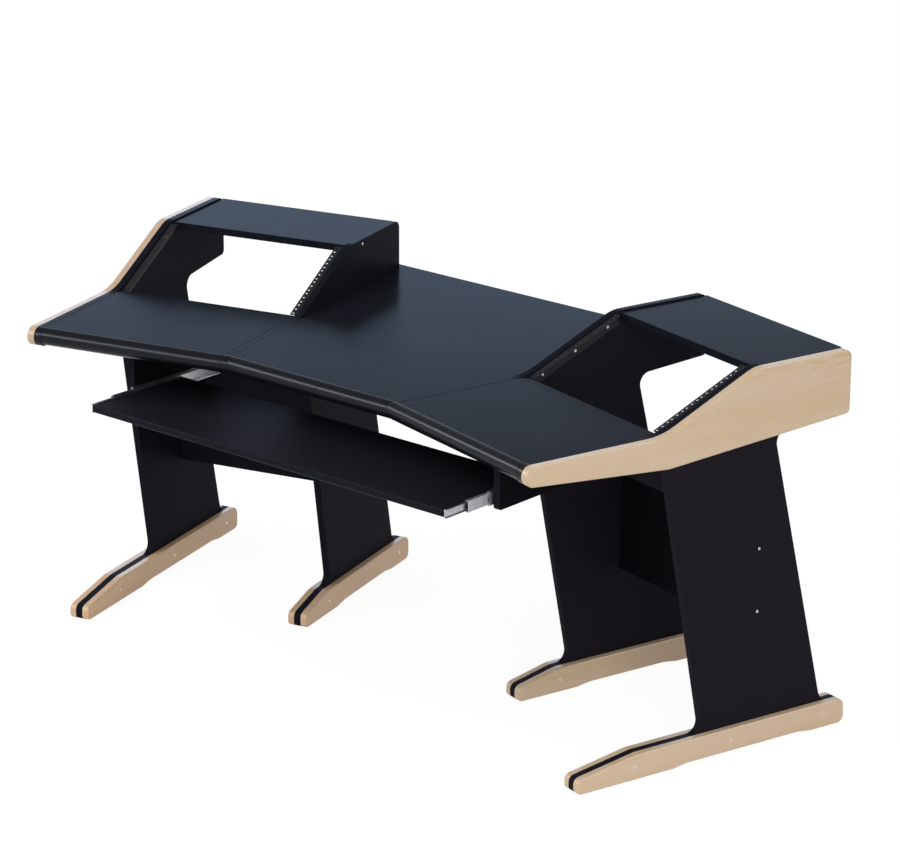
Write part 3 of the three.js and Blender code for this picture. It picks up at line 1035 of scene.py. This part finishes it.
def screw(name, at, towards):
    """A round-headed screw that faces along X, with a socket in its head."""
    sizes = settings().hardware
    radius = sizes.screw_head / 2
    only(None)
    bpy.ops.mesh.primitive_cylinder_add(
        vertices=24, radius=radius, depth=2 * sizes.screw_rise, location=at,
        rotation=(0, towards * math.pi / 2, 0))
    head = bpy.context.object
    head.name = name
    bpy.ops.object.transform_apply(location=True, rotation=True, scale=True)
    front = at.x + towards * sizes.screw_rise
    round_edges(head, lambda a, b: near(a.x, front) and near(b.x, front), sizes.screw_rise * 0.8, 4)
    pick_faces(head, lambda middle, normal: normal.x * towards > 0.99)
    bpy.ops.mesh.inset(thickness=radius * 0.2)
    bpy.ops.mesh.extrude_region_move(TRANSFORM_OT_translate={"value": (-towards * sizes.screw_rise, 0, 0)})
    only(head)
    return head


FOOT_SCREWS = {"outer": (306.8 * MM, 581 * MM, 854.5 * MM), "inner": (469.4 * MM, 860 * MM)}
FOOT_SCREW_HEIGHT = 31.5 * MM
LEG_SCREWS = ((661 * MM, 325 * MM), (661 * MM, 477.3 * MM))
SHELF_SCREW = (692.7 * MM, 903 * MM)


class DESK_OT_screws(PieceOperator, bpy.types.Operator):
    """Screws through the feet, into the legs and at the raised shelves"""
    bl_idname = "desk.screws"
    bl_label = "Screws"

    def execute(self, context):
        finish = on_both_sides("nickel_plated_screws")
        for foot, depths in FOOT_SCREWS.items():
            for face, towards in (("outer", 1), ("inner", -1)):
                low, high = wing_box(f"{foot}_foot_{face}_plate")
                surface = high.x if towards > 0 else low.x
                for i, deep in enumerate(depths):
                    at = Vector((surface, deep, FOOT_SCREW_HEIGHT))
                    made = screw(f"{foot}_foot_{face}_screw_{i + 1}", at, towards)
                    seat_both(made, wing_place, "desk", finish)
        surface = wing_box("outer_side_board")[1].x
        for i, place in enumerate(LEG_SCREWS):
            made = screw(f"leg_screw_{i + 1}", Vector((surface, *place)), 1)
            seat_both(made, wing_place, "desk", finish)
        surface = wing_box("inner_side_board")[0].x
        made = screw("shelf_screw", Vector((surface, *SHELF_SCREW)), -1)
        seat_both(made, wing_place, "desk", finish)
        return {"FINISHED"}


CAMERA_PLACE = (5.46487, -5.7974, 3.34707)
CAMERA_YAW = 0.71401
CAMERA_PITCH = 0.32405
CAMERA_ROLL = -0.004
SENSOR_WIDTH = 36
GLOW_SHARE = 0.84
LAMPS = {
    "key": ((-1.6, -2.6, 3.6), (0, 0, 0.6), (3.2, 3.2), (1, 1, 1), "light"),
    "fill": ((4, -2.7, 1.9), (0.3, 0, 0.4), (2.4, 2.4), (1, 1, 1), "light"),
    "strip": ((-2.2, -3.2, 2.4), (0, -0.4, 0.78), (5, 0.8), (0.88, 0.93, 1), "shine"),
    "rim": ((2.6, 2.4, 4.2), (0.6, 0, 0.8), (3, 3), (1, 1, 1), "shine"),
    "rear": ((-2.8, 3.2, 1.5), (0, 0, 0.8), (3, 1.6), (0.35, 0.6, 1), "shine"),
}
WALLS = {"From Min": 0.3, "From Max": 0.65, "To Min": 1.0, "To Max": 0.35}


class DESK_OT_stage(PieceOperator, bpy.types.Operator):
    """Pale floor, soft studio light and the camera"""
    bl_idname = "desk.stage"
    bl_label = "Stage"

    def execute(self, context):
        scene = context.scene
        look = settings().stage
        self.camera(scene, look)
        self.floor(look)
        self.sky(scene, look)
        for name, settled in LAMPS.items():
            self.lamp(f"{name}_light", getattr(look, name), *settled)
        scene.view_settings.view_transform = "Standard"
        return {"FINISHED"}

    def camera(self, scene, look):
        level = Vector((math.cos(CAMERA_YAW), math.sin(CAMERA_YAW), 0))
        ahead = Vector((-level.y, level.x, 0)) * math.cos(CAMERA_PITCH)
        ahead.z = -math.sin(CAMERA_PITCH)
        upright = ahead.cross(level)
        right = math.cos(CAMERA_ROLL) * level + math.sin(CAMERA_ROLL) * upright
        down = math.cos(CAMERA_ROLL) * upright - math.sin(CAMERA_ROLL) * level
        camera = bpy.data.objects.new("camera", bpy.data.cameras.new("camera"))
        camera.data.lens = look.lens
        camera.data.sensor_width = SENSOR_WIDTH
        turned = Matrix((right, -down, -ahead)).transposed().to_4x4()
        camera.matrix_world = desk_place() @ Matrix.Translation(CAMERA_PLACE) @ turned
        scene.collection.objects.link(camera)
        scene.camera = camera

    def floor(self, look):
        only(None)
        bpy.ops.mesh.primitive_plane_add(size=60)
        floor = bpy.context.object
        floor.name = "floor"
        finish = Finish("pale_floor")
        tree = finish.tree
        cloud = finish.noise(finish.place(), 1.5, 2)
        finish.link(finish.blend(cloud, look.floor, shaded(look.floor, 0.99)), "Base Color")
        finish.set(roughness=0.9, specular_ior_level=0.1)
        glow = finish.node("ShaderNodeEmission", {"Color": (1, 1, 1, 1), "Strength": 1.1})
        seen = self.seen_directly(tree.nodes, tree.links)
        mixed = finish.node("ShaderNodeMixShader", {0: finish.maths("MULTIPLY", seen, GLOW_SHARE)})
        tree.links.new(finish.shader.outputs["BSDF"], mixed.inputs[1])
        tree.links.new(glow.outputs["Emission"], mixed.inputs[2])
        tree.links.new(mixed.outputs["Shader"], tree.nodes["Material Output"].inputs["Surface"])
        floor.data.materials.append(finish.material)

    def sky(self, scene, look):
        world = bpy.data.worlds.new("studio")
        scene.world = world
        world.use_nodes = True
        nodes, links = world.node_tree.nodes, world.node_tree.links
        nodes.clear()
        soft = nodes.new("ShaderNodeBackground")
        soft.inputs["Color"].default_value = (0.95, 0.97, 1, 1)
        soft.inputs["Strength"].default_value = look.sky
        seen = self.seen_directly(nodes, links)
        height = nodes.new("ShaderNodeSeparateXYZ")
        links.new(nodes.new("ShaderNodeTexCoord").outputs["Generated"], height.inputs["Vector"])
        walls = nodes.new("ShaderNodeMapRange")
        links.new(height.outputs["Z"], walls.inputs["Value"])
        for name, value in WALLS.items():
            walls.inputs[name].default_value = value
        pale = nodes.new("ShaderNodeBackground")
        pale.inputs["Color"].default_value = (0.97, 0.985, 1, 1)
        links.new(walls.outputs["Result"], pale.inputs["Strength"])
        mixed = nodes.new("ShaderNodeMixShader")
        links.new(seen, mixed.inputs[0])
        links.new(soft.outputs["Background"], mixed.inputs[1])
        links.new(pale.outputs["Background"], mixed.inputs[2])
        output = nodes.new("ShaderNodeOutputWorld")
        links.new(mixed.outputs["Shader"], output.inputs["Surface"])

    def seen_directly(self, nodes, links):
        """One for rays of the camera, mirrored rays and rays through glass, else none."""
        ray = nodes.new("ShaderNodeLightPath")
        seen = ray.outputs["Is Camera Ray"]
        for other in ("Is Glossy Ray", "Is Transmission Ray"):
            either = nodes.new("ShaderNodeMath")
            either.operation = "MAXIMUM"
            links.new(seen, either.inputs[0])
            links.new(ray.outputs[other], either.inputs[1])
            seen = either.outputs["Value"]
        return seen

    def lamp(self, name, strength, place, target, size, tint, use):
        """An area lamp that either lights surfaces or is only mirrored in them."""
        lamp = bpy.data.objects.new(name, bpy.data.lights.new(name, "AREA"))
        lamp.data.energy = strength
        lamp.data.color = tint
        lamp.data.shape = "RECTANGLE"
        lamp.data.size, lamp.data.size_y = size
        lamp.visible_diffuse = use == "light"
        lamp.visible_glossy = use == "shine"
        lamp.location = place
        lamp.rotation_euler = (Vector(target) - Vector(place)).to_track_quat("-Z", "Y").to_euler()
        bpy.context.scene.collection.objects.link(lamp)


STEPS = (
    DESK_OT_stage, DESK_OT_side_boards, DESK_OT_cheeks, DESK_OT_foot_plates, DESK_OT_edging, DESK_OT_tops,
    DESK_OT_rails, DESK_OT_tray, DESK_OT_slides, DESK_OT_rack_rails, DESK_OT_screws,
)


class DESK_PT_panel(bpy.types.Panel):
    """Lists the steps that build the desk"""
    bl_idname = "DESK_PT_panel"
    bl_label = "Studio desk"
    bl_space_type = "VIEW_3D"
    bl_region_type = "UI"
    bl_category = "Studio desk"

    def draw(self, context):
        for step in STEPS:
            self.layout.operator(step.bl_idname)


GROUPS = (
    DESK_PG_boards, DESK_PG_maple, DESK_PG_hardware, DESK_PG_finish, DESK_PG_stage, DESK_PG_settings,
)


def register():
    for each in (*GROUPS, *STEPS, DESK_PT_panel):
        bpy.utils.register_class(each)
    bpy.types.Scene.studio_desk = PointerProperty(type=DESK_PG_settings)


def unregister():
    del bpy.types.Scene.studio_desk
    for each in reversed((*GROUPS, *STEPS, DESK_PT_panel)):
        bpy.utils.unregister_class(each)


def main():
    register()
    for step in STEPS:
        family, action = step.bl_idname.split(".")
        getattr(getattr(bpy.ops, family), action)()


if __name__ == "__main__":
    main()
